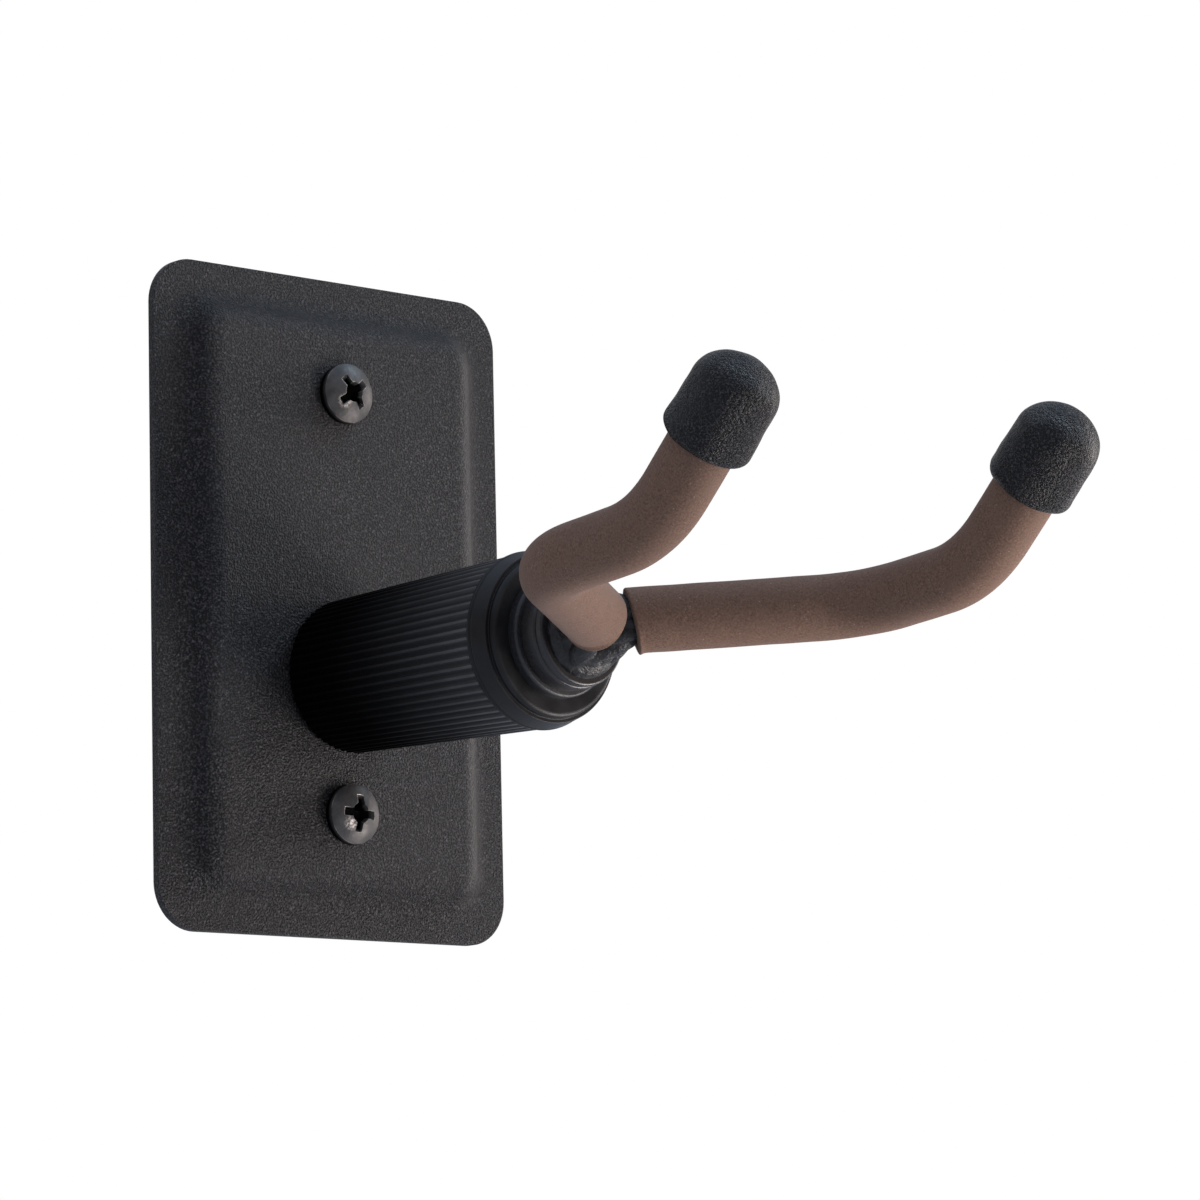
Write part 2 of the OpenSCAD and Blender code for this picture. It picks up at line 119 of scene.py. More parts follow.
# camera
CAMERA_AT = (-0.54169, -0.68662, -0.1369)
CAMERA_AIM = (-0.01888, -0.09395, -0.01279)
CAMERA_ROLL = math.radians(-1.31)
CAMERA_LENS = 151.07        # millimetres, on the sensor below
SENSOR_W = 36
FAR_CLIP = 60

# studio
LAMP_SIZE = 0.2
LAMP_AIM = (0, -0.07, 0)
FLOOR_Z = -1.3
FLOOR_REACH = 14


# ---------------------------------------------------------------- node helpers

def feed(tree, node, inputs):
    """Sets a node's inputs to values, or links them to the sockets that feed them."""
    for key, value in inputs.items():
        if isinstance(value, bpy.types.NodeSocket):
            tree.links.new(value, node.inputs[key])
        else:
            node.inputs[key].default_value = value


def add(tree, kind, inputs=None, **settings):
    """A new shader node. Inputs are values or the sockets that feed them."""
    node = tree.nodes.new("ShaderNode" + kind)
    for key, value in settings.items():
        setattr(node, key, value)
    feed(tree, node, inputs or {})
    return node


def rgb(red, green, blue):
    return (red, green, blue, 1)


def place(tree, stretch=(1, 1, 1)):
    """Position on the piece, in metres. It stays with the piece when the fork turns."""
    at = add(tree, "TexCoord").outputs["Object"]
    return add(tree, "Mapping", {"Vector": at, "Scale": stretch}).outputs["Vector"]


def axes(tree, vector):
    """The X, Y and Z of a vector."""
    return add(tree, "SeparateXYZ", {"Vector": vector}).outputs


def grain(tree, size, detail=2.0, stretch=(1, 1, 1)):
    """Noise whose blobs are about size across."""
    inputs = {"Vector": place(tree, stretch), "Scale": 1 / size, "Detail": detail}
    return add(tree, "TexNoise", inputs).outputs[0]


def cells(tree, size, feature="F1"):
    """Distance to the nearest of many scattered points that lie about size apart."""
    inputs = {"Vector": place(tree), "Scale": 1 / size}
    return add(tree, "TexVoronoi", inputs, feature=feature).outputs["Distance"]


def between(tree, value, low, high, start=0.0, stop=1.0):
    """Rescales value so that low becomes start and high becomes stop, and clamps it."""
    inputs = {"Value": value, "From Min": low, "From Max": high, "To Min": start, "To Max": stop}
    return add(tree, "MapRange", inputs).outputs["Result"]


def wander(tree, source, low, high):
    """A value that follows a noise and keeps between low and high."""
    return between(tree, source, 0.3, 0.7, low, high)


def maths(tree, operation, first, second=0.0):
    return add(tree, "Math", {0: first, 1: second}, operation=operation).outputs[0]


def times(tree, first, second):
    return maths(tree, "MULTIPLY", first, second)


def minus(tree, first, second):
    return maths(tree, "SUBTRACT", first, second)


def sum_of_squares(tree, first, second):
    return maths(tree, "ADD", times(tree, first, first), times(tree, second, second))


def mix(tree, share, first, second):
    inputs = {"Fac": share, "Color1": first, "Color2": second}
    return add(tree, "MixRGB", inputs).outputs["Color"]


def bump(tree, height, depth, normal=None):
    """A normal that follows a height, over another normal where one is given."""
    inputs = {"Height": height, "Distance": depth, "Strength": 1.0}
    if normal is not None:
        inputs["Normal"] = normal
    return add(tree, "Bump", inputs).outputs["Normal"]


def soft_edges(tree, radius):
    """A normal that rounds the edges off by radius, and a mask that is 1 on those edges."""
    rounded = add(tree, "Bevel", {"Radius": radius}, samples=8).outputs["Normal"]
    true = add(tree, "NewGeometry").outputs["Normal"]
    likeness = add(tree, "VectorMath", {0: rounded, 1: true}, operation="DOT_PRODUCT")
    return rounded, between(tree, likeness.outputs["Value"], 0.995, 0.93)


def new_material(name):
    """A material with one shader and nothing else yet."""
    material = bpy.data.materials.new(name)
    material.use_nodes = True
    tree = material.node_tree
    tree.nodes.clear()
    shader = add(tree, "BsdfPrincipled")
    add(tree, "OutputMaterial", {"Surface": shader.outputs["BSDF"]})
    return material, tree, shader


# ---------------------------------------------------------------- materials

def powder_coat():
    """Dark grey coat with a fine pebbled grain that glints, and rare bright specks painted into its
    colour as glints.
    """
    pit = rgb(0.0002, 0.0002, 0.0002)
    peak = rgb(0.060, 0.055, 0.057)
    painted_glint = rgb(0.19, 0.178, 0.184)
    dull = rgb(0.015, 0.0138, 0.0143)
    rubbed = rgb(0.07, 0.065, 0.067)
    material, tree, shader = new_material("powder_coat")
    edge_normal, edge = soft_edges(tree, 0.5 * MM)
    fine = grain(tree, 0.37 * MM)
    coarse = grain(tree, 1.1 * MM)
    patches = grain(tree, 16 * MM, 3)
    # painted glints: rare bright specks in the colour that stand for glinting light
    painted_glint_mask = between(tree, cells(tree, 0.9 * MM), 0.26, 0.12, 0, 0.5)
    tone = mix(tree, between(tree, fine, 0.47, 0.62), pit, peak)
    tone = mix(tree, painted_glint_mask, tone, painted_glint)
    tone = mix(tree, between(tree, patches, 0.35, 0.7, 0, 0.35), tone, dull)
    tone = mix(tree, times(tree, edge, 0.35), tone, rubbed)
    height = maths(tree, "ADD", fine, times(tree, coarse, 0.3))
    feed(tree, shader, {
        "Base Color": tone,
        "Specular IOR Level": 0.32,
        "Roughness": wander(tree, fine, 0.36, 0.54),
        "Normal": bump(tree, height, 0.55 * MM, edge_normal),
    })
    return material


def screw_place(tree):
    """Position across and up from the axis of either wall screw, and depth behind its dome."""
    low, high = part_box("wall_screw_upper")
    at = axes(tree, place(tree))
    axis_z = times(tree, maths(tree, "SIGN", at["Z"]), (low.z + high.z) / 2)
    up = minus(tree, at["Z"], axis_z)
    dome = maths(tree, "DIVIDE", sum_of_squares(tree, at["X"], up), 2 * SCREW_CROWN_R)
    depth = minus(tree, minus(tree, at["Y"], low.y), dome)
    return add(tree, "CombineXYZ", {"X": at["X"], "Y": up}).outputs["Vector"], depth


def black_screw():
    """Steel with a black finish that is worn thin on the dome, and bright and metallic at the lower
    left of the recess. The recess and the head's side are painted near black as shade, and the shank is
    grey."""
    bare = rgb(0.75, 0.68, 0.62)
    thin = rgb(0.05, 0.0485, 0.0485)
    thinnest = rgb(0.092, 0.086, 0.083)
    # painted shade: the near black of the recess and the head's side
    black_finish_and_shade = rgb(0.002, 0.002, 0.002)
    bright_spot = (-1.9 * MM, -1.7 * MM, 0)
    material, tree, shader = new_material("black_screw")
    edge_normal, edge = soft_edges(tree, 0.2 * MM)
    fine = grain(tree, 0.45 * MM, 3)
    blotch = grain(tree, 2.2 * MM, 3)
    at, depth = screw_place(tree)
    # a bright, metallic spot at the lower left of the recess
    reach = add(tree, "VectorMath", {0: at, 1: bright_spot}, operation="DISTANCE").outputs["Value"]
    near_bright_spot = between(tree, reach, 1.5 * MM, 0.4 * MM)
    bright_spot_mask = times(tree, near_bright_spot, between(tree, fine, 0.4, 0.6))
    worn = times(tree, edge, between(tree, blotch, 0.42, 0.6, 0, 0.8))
    shank = between(tree, depth, 3.7 * MM, 4.6 * MM, 0, 0.8)
    # painted shade: black is 1 in the recess and on the head's side, behind the dome, and less on the
    # shank
    black = minus(tree, between(tree, depth, 0.25 * MM, 0.9 * MM), shank)
    bright = times(tree, maths(tree, "MAXIMUM", bright_spot_mask, worn), minus(tree, 1.0, black))
    tone = mix(tree, between(tree, blotch, 0.35, 0.65), thin, thinnest)
    tone = mix(tree, black, tone, black_finish_and_shade)
    feed(tree, shader, {
        "Base Color": mix(tree, bright, tone, bare),
        "Metallic": between(tree, bright, 0, 1, 0.3, 0.95),
        "Specular IOR Level": between(tree, black, 0, 1, 0.5, 0.05),
        "Roughness": wander(tree, fine, 0.36, 0.55),
        "Normal": bump(tree, fine, 0.05 * MM, edge_normal),
    })
    return material


def barrel_masks(tree):
    """Two masks for the barrel: 1 on the crests of its ribs and 0 in its grooves, which are painted
    dark as shade, and painted light, which rises from 0 in the shade near the plate to 1 in front."""
    low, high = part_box("hub_barrel")
    at = axes(tree, place(tree))
    up = minus(tree, at["Z"], (low.z + high.z) / 2)
    away = maths(tree, "SQRT", sum_of_squares(tree, at["X"], up))
    back = minus(tree, at["Y"], low.y)
    crest_r = minus(tree, (high.x - low.x) / 2, times(tree, back, BARREL_TAPER))
    sunk = minus(tree, crest_r, away)
    # painted shade: the grooves get the darker tone
    crest = between(tree, sunk, GROOVE_DEPTH * 0.95, GROOVE_DEPTH * 0.2)
    # painted light: 0 in the shade near the plate, rising to 1 in front
    ahead = between(tree, at["Y"], high.y - PLATE_SHADE_L, low.y)
    return crest, times(tree, ahead, ahead)


def ribbed_plastic():
    """Black moulded plastic with a soft lustre. Its grooves and its end near the plate are painted dark
    as shade, and it is painted lighter towards the front as light, most of all on the crests of its
    ribs.
    """
    # painted shade and light: near black by the plate and in the grooves, paler in front
    shaded_crest = rgb(0.002, 0.002, 0.0022)
    pale_crest = rgb(0.085, 0.084, 0.0855)
    dusty_crest = rgb(0.115, 0.114, 0.116)
    shaded_groove = rgb(0.0005, 0.0005, 0.0006)
    lit_groove = rgb(0.05, 0.05, 0.0505)
    material, tree, shader = new_material("ribbed_plastic")
    fine = grain(tree, 0.3 * MM)
    dust = grain(tree, 5 * MM, 4)
    crest, painted_light_ahead = barrel_masks(tree)
    tone = mix(tree, between(tree, dust, 0.4, 0.7), pale_crest, dusty_crest)
    tone = mix(tree, painted_light_ahead, shaded_crest, tone)
    groove = mix(tree, painted_light_ahead, shaded_groove, lit_groove)
    feed(tree, shader, {
        "Base Color": mix(tree, crest, groove, tone),
        "Specular IOR Level": between(tree, times(tree, crest, painted_light_ahead), 0, 1, 0.05, 0.4),
        "Roughness": wander(tree, dust, 0.4, 0.55),
        "Normal": bump(tree, fine, 0.03 * MM),
    })
    return material


def smooth_plastic():
    """Black plastic with a satin face."""
    deep = rgb(0.008, 0.0075, 0.008)
    hazy = rgb(0.015, 0.0145, 0.015)
    rubbed = rgb(0.06, 0.06, 0.065)
    material, tree, shader = new_material("smooth_plastic")
    edge_normal, edge = soft_edges(tree, 0.25 * MM)
    fine = grain(tree, 0.35 * MM)
    haze = grain(tree, 4 * MM, 3)
    tone = mix(tree, between(tree, haze, 0.35, 0.7), deep, hazy)
    feed(tree, shader, {
        "Base Color": mix(tree, times(tree, edge, 0.25), tone, rubbed),
        "Specular IOR Level": 0.3,
        "Roughness": wander(tree, haze, 0.3, 0.45),
        "Normal": bump(tree, fine, 0.02 * MM, edge_normal),
    })
    return material


def dark_nylon():
    """Dark grey nylon, a little paler on the edges."""
    dark = rgb(0.014, 0.014, 0.016)
    pale = rgb(0.032, 0.032, 0.034)
    rubbed = rgb(0.07, 0.07, 0.075)
    material, tree, shader = new_material("dark_nylon")
    edge_normal, edge = soft_edges(tree, 0.2 * MM)
    fine = grain(tree, 0.4 * MM, 3)
    tone = mix(tree, wander(tree, fine, 0, 1), dark, pale)
    feed(tree, shader, {
        "Base Color": mix(tree, times(tree, edge, 0.3), tone, rubbed),
        "Roughness": wander(tree, fine, 0.35, 0.5),
        "Normal": bump(tree, fine, 0.03 * MM, edge_normal),
    })
    return material


def zinc_steel():
    """Bright plated steel with turning marks and dull spots."""
    dull = rgb(0.42, 0.42, 0.43)
    plated = rgb(0.62, 0.61, 0.59)
    polished = rgb(0.8, 0.79, 0.77)
    material, tree, shader = new_material("zinc_steel")
    edge_normal, edge = soft_edges(tree, 0.2 * MM)
    turned = grain(tree, 1.6 * MM, 3, (1, 9, 1))
    spots = grain(tree, 2.5 * MM, 4)
    tone = mix(tree, between(tree, spots, 0.35, 0.65), dull, plated)
    feed(tree, shader, {
        "Base Color": mix(tree, times(tree, edge, 0.5), tone, polished),
        "Metallic": 1.0,
        "Roughness": wander(tree, spots, 0.26, 0.45),
        "Normal": bump(tree, turned, 0.03 * MM, edge_normal),
    })
    return material


def gloss_black():
    """Black enamel over steel, a little paler where it is thin on the edges."""
    enamel = rgb(0.017, 0.0145, 0.015)
    thin = rgb(0.07, 0.062, 0.06)
    material, tree, shader = new_material("gloss_black")
    edge_normal, edge = soft_edges(tree, 0.25 * MM)
    ripple = grain(tree, 2.4 * MM)
    speck = grain(tree, 0.3 * MM)
    worn = times(tree, edge, between(tree, ripple, 0.5, 0.7, 0, 0.5))
    feed(tree, shader, {
        "Base Color": mix(tree, worn, enamel, thin),
        "Roughness": wander(tree, speck, 0.26, 0.4),
        "Coat Weight": 0.2,
        "Coat Roughness": 0.2,
        "Normal": bump(tree, ripple, 0.05 * MM, edge_normal),
    })
    return material


def taupe_rubber():
    """Matt brown tubing, mottled and dotted with pale specks of lint."""
    dark = rgb(0.122, 0.071, 0.049)
    pale = rgb(0.266, 0.158, 0.110)
    faded = rgb(0.202, 0.122, 0.086)
    lint = rgb(0.42, 0.38, 0.35)
    material, tree, shader = new_material("taupe_rubber")
    fine = grain(tree, 0.32 * MM, 3)
    mottle = grain(tree, 2.4 * MM, 4)
    tone = mix(tree, wander(tree, fine, 0, 1), dark, pale)
    tone = mix(tree, between(tree, mottle, 0.4, 0.7, 0, 0.5), tone, faded)
    rare = between(tree, grain(tree, 3 * MM, 1), 0.5, 0.62)
    specks = between(tree, cells(tree, 0.8 * MM), 0.17, 0.08)
    linty = times(tree, times(tree, rare, specks), 0.6)
    height = maths(tree, "ADD", fine, times(tree, mottle, 0.8))
    feed(tree, shader, {
        "Base Color": mix(tree, linty, tone, lint),
        "Roughness": wander(tree, fine, 0.66, 0.82),
        "Specular IOR Level": 0.25,
        "Sheen Weight": 0.12,
        "Sheen Roughness": 0.4,
        "Sheen Tint": rgb(0.85, 0.72, 0.66),
        "Normal": bump(tree, height, 0.05 * MM),
    })
    return material


def pebbled_rubber():
    """Black rubber with a fine sandy grain that glints."""
    pit = rgb(0.002, 0.002, 0.0022)
    peak = rgb(0.092, 0.086, 0.089)
    dull = rgb(0.012, 0.0115, 0.012)
    material, tree, shader = new_material("pebbled_rubber")
    pebble = cells(tree, 0.55 * MM, "SMOOTH_F1")
    fine = grain(tree, 0.3 * MM, 3)
    lumps = grain(tree, 3 * MM)
    height = minus(tree, fine, times(tree, pebble, 0.6))
    tone = mix(tree, between(tree, fine, 0.48, 0.68), pit, peak)
    tone = mix(tree, between(tree, lumps, 0.4, 0.7, 0, 0.4), tone, dull)
    feed(tree, shader, {
        "Base Color": tone,
        "Specular IOR Level": 0.27,
        "Roughness": wander(tree, fine, 0.18, 0.34),
        "Normal": bump(tree, height, 0.6 * MM),
    })
    return material


def weld_metal():
    """Enamelled weld: dull black over a rippled surface."""
    hollow = rgb(0.005, 0.0045, 0.0045)
    crest = rgb(0.022, 0.019, 0.0195)
    material, tree, shader = new_material("weld_metal")
    ripple = grain(tree, 1.5 * MM, 3)
    speck = grain(tree, 0.35 * MM)
    height = maths(tree, "ADD", ripple, times(tree, speck, 0.15))
    feed(tree, shader, {
        "Base Color": mix(tree, between(tree, ripple, 0.4, 0.65), hollow, crest),
        "Roughness": wander(tree, speck, 0.34, 0.5),
        "Normal": bump(tree, height, 0.5 * MM),
    })
    return material


def natural_nylon():
    """Undyed nylon, a creamy white that lets a little light in."""
    cream = rgb(0.55, 0.54, 0.48)
    pale = rgb(0.72, 0.71, 0.66)
    material, tree, shader = new_material("natural_nylon")
    fine = grain(tree, 0.4 * MM, 3)
    feed(tree, shader, {
        "Base Color": mix(tree, fine, cream, pale),
        "Roughness": wander(tree, fine, 0.4, 0.6),
        "Subsurface Weight": 0.1,
        "Subsurface Radius": (MM, MM, MM),
        "Normal": bump(tree, fine, 0.03 * MM),
    })
    return material


def pale_floor():
    """A floor that glows a little to the camera, so that it is as white as the backdrop."""
    white = rgb(1, 1, 1)
    pale = rgb(0.84, 0.84, 0.84)
    greyer = rgb(0.8, 0.8, 0.8)
    material, tree, shader = new_material("pale_floor")
    seen = add(tree, "LightPath").outputs["Is Camera Ray"]
    feed(tree, shader, {
        "Base Color": mix(tree, grain(tree, 0.4), greyer, pale),
        "Roughness": 0.9,
        "Emission Color": white,
        "Emission Strength": times(tree, seen, 0.6),
    })
    return material


# ---------------------------------------------------------------- shapes

def skin(name, rings):
    """A closed mesh through rings of points. Each ring joins the next, and the last joins the first."""
    mesh = bpy.data.meshes.new(name)
    form = bmesh.new()
    rows = [[form.verts.new(point) for point in ring] for ring in rings]
    for i, row in enumerate(rows):
        following = rows[(i + 1) % len(rows)]
        for j in range(len(row)):
            k = (j + 1) % len(row)
            form.faces.new((row[j], row[k], following[k], following[j]))
    bmesh.ops.remove_doubles(form, verts=form.verts, dist=MM / 1000)
    bmesh.ops.recalc_face_normals(form, faces=form.faces)
    for face in form.faces:
        face.smooth = True
    form.to_mesh(mesh)
    form.free()
    piece = bpy.data.objects.new(name, mesh)
    bpy.context.scene.collection.objects.link(piece)
    return piece


def fork_matrix(side):
    """Turns the fork's own frame into the room's. Side is 1 for the right arm and -1 for the left."""
    low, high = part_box("hub_collar")
    apex_y = low.y - APEX_AHEAD
    apex_z = (low.z + high.z) / 2 + APEX_ABOVE
    mirror = Matrix.Diagonal((side, 1, 1, 1))
    return Matrix.Translation((0, apex_y, apex_z)) @ Matrix.Rotation(-FORK_RISE, 4, "X") @ mirror


def walk(frame, length, turn, axis, steps):
    """Frames along a stretch of the centre line that turns evenly about one of the frame's axes.
    Each frame's -Y points along the line."""
    for _ in range(steps):
        half = Matrix.Rotation(turn / steps / 2, 4, axis)
        chord = length / steps
        frame = frame @ half @ Matrix.Translation((0, -chord, 0)) @ half
        yield frame


def arm_line(start, stop_short):
    """Frames along the right arm's centre line, from a point on the leg towards the end of the tip.
    They are closer together along the lip."""
    step = 0.7 * MM
    frame = Matrix.Rotation(CORNER_TURN, 4, "Z") @ Matrix.Translation((0, -start, 0))
    stretches = [
        (LIP_L, 0, "Z", step / 8),
        (LEG_STRAIGHT - start - LIP_L, 0, "Z", step),
        (CORNER_BEND_R * CORNER_TURN, -CORNER_TURN, "Z", step),
        (PRONG_STRAIGHT, 0, "Z", step),
        (TIP_BEND_R * TIP_TURN, -TIP_TURN, "X", step),
        (TIP_STRAIGHT - stop_short, 0, "X", step),
    ]
    frames = [frame]
    for length, turn, axis, spacing in stretches:
        frames += walk(frames[-1], length, turn, axis, max(2, round(length / spacing)))
    return frames


def ring(frame, radii, shear=0.0):
    """Points round a frame's Y axis, one for each radius. Shear carries the upper ones backwards."""
    points = []
    for i, radius in enumerate(radii):
        angle = math.tau * i / len(radii)
        across = radius * math.cos(angle)
        up = radius * math.sin(angle)
        points.append(frame @ Vector((across, shear * up, up)))
    return points


def tube_radius(angle, away, lip):
    """Radius of the tubing at an angle round it and at a distance from its cut end."""
    flare = lip * max(0.0, 1 - away / LIP_L) ** 2 * max(0.0, -math.sin(angle)) ** 3
    closeness = max(0.0, 1 - away / CUT_ROUND)
    rounding = CUT_ROUND * (1 - math.sqrt(1 - closeness ** 2))
    uneven = noise.noise(Vector((math.cos(angle), math.sin(angle), away / TUBE_WAVE)))
    return TUBE_R + flare - rounding + TUBE_UNEVEN * uneven


def arm_tube(word):
    """Rubber tubing over one arm. Its inner end is cut at a slant, which leaves a lip below."""
    count = 72
    to_room = fork_matrix(SIDES[word])
    frames = arm_line(TUBE_START, CAP_WALL + TUBE_END_GAP)
    start = frames[0].translation
    outer = []
    inner = []
    for frame in frames:
        away = (frame.translation - start).length
        shear = math.tan(CUT_SLANT) * max(0.0, 1 - away / CUT_FADES)
        radii = [tube_radius(math.tau * i / count, away, LIP_DROP[word]) for i in range(count)]
        outer.append(ring(to_room @ frame, radii, shear))
        inner.append(ring(to_room @ frame, [ROD_R + BORE_GAP] * count, shear))
    return skin("tubing_" + word, outer + inner[::-1])


def arc(centre, radius, start, stop, count):
    """Points (r, z) along an arc, with angles in radians from the +r direction."""
    for i in range(count + 1):
        angle = start + (stop - start) * i / count
        yield centre[0] + radius * math.cos(angle), centre[1] + radius * math.sin(angle)


def line(start, stop, step):
    """Points between two others, about step apart, without the two themselves."""
    count = max(1, round(math.dist(start, stop) / step))
    for i in range(1, count):
        yield tuple(a + (b - a) * i / count for a, b in zip(start, stop))


def cap_outline():
    """Half of the cap's section as (r, z) points: bore, rim, tapering side, shoulder, crown."""
    step = 0.3 * MM
    end_r = CAP_R - CAP_TAPER
    crown_z = CAP_L - CAP_CROWN_R
    shoulder_x = end_r - CAP_SHOULDER_R
    shoulder_z = crown_z + math.sqrt((CAP_CROWN_R - CAP_SHOULDER_R) ** 2 - shoulder_x ** 2)
    meet = math.atan2(shoulder_z - crown_z, shoulder_x)
    bore_r = TUBE_R + BORE_GAP
    floor_z = CAP_L - CAP_WALL
    points = [(0, floor_z), (bore_r, floor_z)]
    points += line((bore_r, floor_z), (bore_r, 0), step)
    points += [(bore_r, 0)]
    points += arc((CAP_R - CAP_RIM_R, CAP_RIM_R), CAP_RIM_R, -math.pi / 2, 0, 8)
    points += line((CAP_R, CAP_RIM_R), (end_r, shoulder_z), step)
    points += arc((shoulder_x, shoulder_z), CAP_SHOULDER_R, 0, meet, 12)
    points += arc((0, crown_z), CAP_CROWN_R, meet, math.pi / 2, 16)
    return points


def tip_cap(word):
    """A moulded rubber cap. Its outside is slightly uneven, like a soft casting."""
    count = 96
    side = SIDES[word]
    to_room = fork_matrix(side) @ arm_line(TUBE_START, 0)[-1]
    middle = Vector((0, CAP_L * 0.6, 0))
    own_lumps = Vector((side * 3.1, 1.7, 0.4))
    rings = []
    for r, z in cap_outline():
        points = []
        outside = r > TUBE_R + 2 * BORE_GAP or z > CAP_L - CAP_WALL + MM
        for i in range(count):
            angle = math.tau * i / count
            point = Vector((r * math.cos(angle), CAP_L - z, r * math.sin(angle)))
            if outside:
                swell = CAP_UNEVEN * (noise.noise(point / CAP_LUMP + own_lumps) - 0.5)
                point += (point - middle).normalized() * swell
            points.append(to_room @ point)
        rings.append(points)
    return skin("cap_" + word, rings)


def blob(form, start, stop, radius):
    """Adds a rounded drop that is stretched from one point to another to a mesh being built."""
    along = stop - start
    turn = along.to_track_quat("Z", "Y").to_matrix().to_4x4()
    half = radius + along.length / 2
    shape = Matrix.Translation((start + stop) / 2) @ turn @ Matrix.Diagonal((radius, radius, half, 1))
    bmesh.ops.create_icosphere(form, subdivisions=3, radius=1, matrix=shape)


def weld():
    """Weld metal: a low mound on the pin's head, from which slumped drops reach up each leg."""
    low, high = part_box("pivot_pin")
    foot = Vector((0, low.y, (low.z + high.z) / 2))
    mound_r = 7.9 * MM
    mound_h = 3.6 * MM
    core_r = 4.3 * MM
    drops = 9
    drop_r = 1.6 * MM
    drop_r_varies = 0.55 * MM
    drop_twist = 0.6            # radians that a drop turns round the leg on its way up
    foot_ring_r = 5.9 * MM
    foot_ahead = 0.9 * MM
    leg_ring_r = 3.1 * MM
    form = bmesh.new()
    shape = Matrix.Translation(foot) @ Matrix.Diagonal((mound_r, mound_h, mound_r, 1))
    bmesh.ops.create_icosphere(form, subdivisions=4, radius=1, matrix=shape)
    for side in (1, -1):
        leg = fork_matrix(side) @ Matrix.Rotation(CORNER_TURN, 4, "Z")
        blob(form, foot, leg @ Vector((0, -TUBE_START, 0)), core_r)
        for i in range(drops):
            angle = math.tau * i / drops
            twisted = angle + drop_twist
            spoke = Vector((math.cos(angle), 0, math.sin(angle)))
            root = Vector((math.cos(twisted), 0, math.sin(twisted)))
            start = foot + spoke * foot_ring_r - Vector((0, foot_ahead, 0))
            stop = leg @ (root * leg_ring_r - Vector((0, TUBE_START, 0)))
            blob(form, start, stop, drop_r + drop_r_varies * math.sin(2.4 * i + side))
    mesh = bpy.data.meshes.new("weld")
    form.to_mesh(mesh)
    form.free()
    piece = bpy.data.objects.new("weld", mesh)
    bpy.context.scene.collection.objects.link(piece)
    remesh = piece.modifiers.new("fuse", "REMESH")
    remesh.mode = "VOXEL"
    remesh.voxel_size = 0.22 * MM
    remesh.use_smooth_shade = True
    smooth = piece.modifiers.new("settle", "SMOOTH")
    smooth.factor = 0.5
    smooth.iterations = 3
    return piece


# ---------------------------------------------------------------- assembly

def paint(piece, material):
    piece.data.materials.clear()
    piece.data.materials.append(material)


def paint_cad(nodes, looks):
    """Gives every CAD node the material made for its slot."""
    for piece in nodes.values():
        slots = piece.data.materials
        for i in range(len(slots)):
            slots[i] = looks[slots[i].name.split(".")[0]]


def own_piece(piece, body, node, material):
    """Shows a piece in place of a CAD node and makes it move with that node's body."""
    paint(piece, material)
    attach(piece, body)
    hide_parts(node)


def softbox(name, location, power, colour):
    """A square lamp that is aimed at the hanger. The camera doesn't see it."""
    lamp = bpy.data.lights.new(name, "AREA")
    lamp.shape = "SQUARE"
    lamp.size = LAMP_SIZE
    lamp.energy = power
    lamp.color = colour
    piece = bpy.data.objects.new(name, lamp)
    piece.location = location
    ahead = Vector(LAMP_AIM) - Vector(location)
    piece.rotation_euler = ahead.to_track_quat("-Z", "Y").to_euler()
    bpy.context.scene.collection.objects.link(piece)
    piece.visible_camera = False


def room_light(tree):
    """Colour of the light from each direction: a pale backdrop behind the hanger, a dim room in front
    of it, a cool ceiling, a warm floor and a narrow bright strip on the right."""
    direction = add(tree, "TexCoord").outputs["Generated"]
    toward = axes(tree, direction)
    light = rgb(0.2, 0.185, 0.185)
    # direction, where the layer starts, where it is full, its colour
    layers = (
        ("X", 0.1, -0.7, rgb(0.21, 0.2, 0.212)),
        ("X", 0.9, 0.985, rgb(4.2, 3.85, 3.7)),
        ("Y", -0.2, -0.9, rgb(0.44, 0.41, 0.41)),
        ("Z", 0.35, 0.85, rgb(0.52, 0.62, 0.8)),
        ("Z", -0.15, -0.8, rgb(0.5, 0.44, 0.41)),
    )
    for axis, starts, full, colour in layers:
        light = mix(tree, between(tree, toward[axis], starts, full), light, colour)
    low = rgb(0.95, 0.9, 0.9)
    high = rgb(0.42, 0.43, 0.46)
    backdrop = mix(tree, between(tree, toward["Z"], 0.4, -0.5), high, low)
    return mix(tree, between(tree, toward["Y"], 0.35, 0.8), light, backdrop)


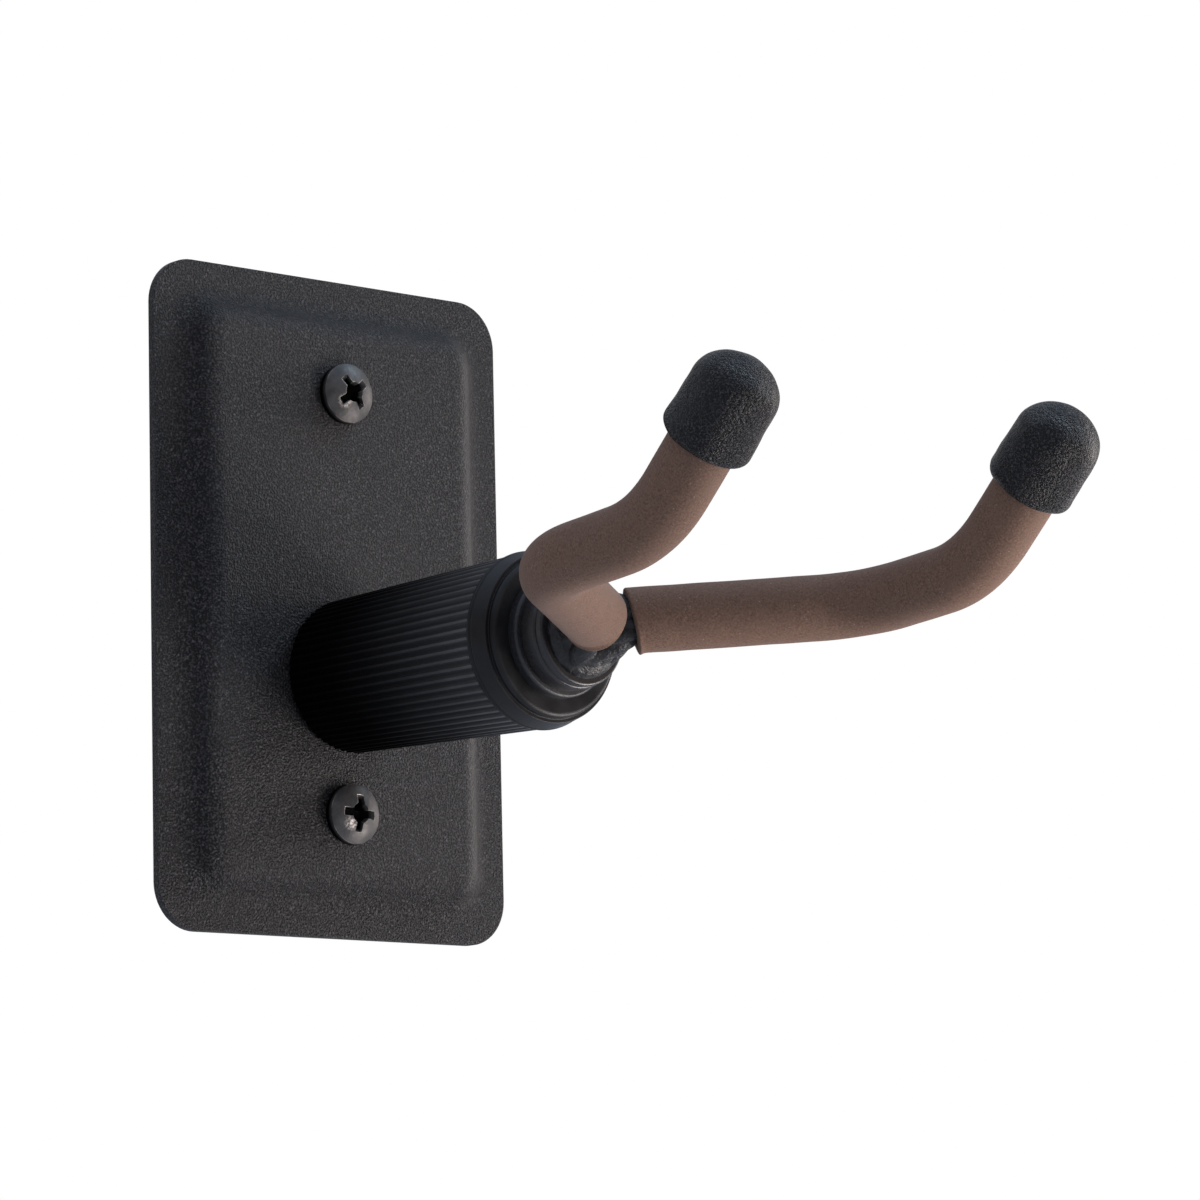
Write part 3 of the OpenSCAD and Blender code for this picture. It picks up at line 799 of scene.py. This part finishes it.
def studio():
    """The room's light, a warm lamp low on the right and a cool one high up. The camera sees nothing
    but white."""
    world = bpy.data.worlds.new("studio")
    bpy.context.scene.world = world
    world.use_nodes = True
    tree = world.node_tree
    tree.nodes.clear()
    glow = add(tree, "Background", {"Color": room_light(tree), "Strength": 1.0}).outputs[0]
    white = add(tree, "Background", {"Color": rgb(1, 1, 1), "Strength": 1.0}).outputs[0]
    seen = add(tree, "LightPath").outputs["Is Camera Ray"]
    shown = add(tree, "MixShader", {0: seen, 1: glow, 2: white}).outputs[0]
    add(tree, "OutputWorld", {"Surface": shown})
    softbox("lamp_right", (0.26, -0.26, -0.21), 1.25, (1.0, 0.91, 0.86))
    softbox("lamp_high", (0.34, -0.19, 0.44), 0.75, (0.70, 0.87, 1.0))


def floor():
    squares = 24
    form = bmesh.new()
    bmesh.ops.create_grid(form, x_segments=squares, y_segments=squares, size=FLOOR_REACH)
    mesh = bpy.data.meshes.new("floor")
    form.to_mesh(mesh)
    form.free()
    piece = bpy.data.objects.new("floor", mesh)
    piece.location = (0, 0, FLOOR_Z)
    bpy.context.scene.collection.objects.link(piece)
    paint(piece, pale_floor())


def camera():
    lens = bpy.data.cameras.new("camera")
    lens.lens = CAMERA_LENS
    lens.sensor_width = SENSOR_W
    lens.clip_end = FAR_CLIP
    piece = bpy.data.objects.new("camera", lens)
    ahead = Vector(CAMERA_AIM) - Vector(CAMERA_AT)
    turn = ahead.to_track_quat("-Z", "Y").to_matrix().to_4x4()
    roll = Matrix.Rotation(CAMERA_ROLL, 4, "Z")
    piece.matrix_world = Matrix.Translation(CAMERA_AT) @ turn @ roll
    bpy.context.scene.collection.objects.link(piece)
    bpy.context.scene.camera = piece
    bpy.context.scene.view_settings.view_transform = "Standard"


def main():
    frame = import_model()
    looks = {
        "plate": powder_coat(),
        "screw": black_screw(),
        "barrel": ribbed_plastic(),
        "collar": smooth_plastic(),
        "nylon": dark_nylon(),
        "steel": zinc_steel(),
        "fork_steel": gloss_black(),
        "tubing": taupe_rubber(),
        "cap": pebbled_rubber(),
        "insert": natural_nylon(),
    }
    paint_cad(frame["nodes"], looks)
    for word in SIDES:
        own_piece(arm_tube(word), "fork", "arm_tube_" + word, looks["tubing"])
        own_piece(tip_cap(word), "fork", "tip_cap_" + word, looks["cap"])
    own_piece(weld(), "fork", "weld_bead", weld_metal())
    studio()
    floor()
    camera()


main()
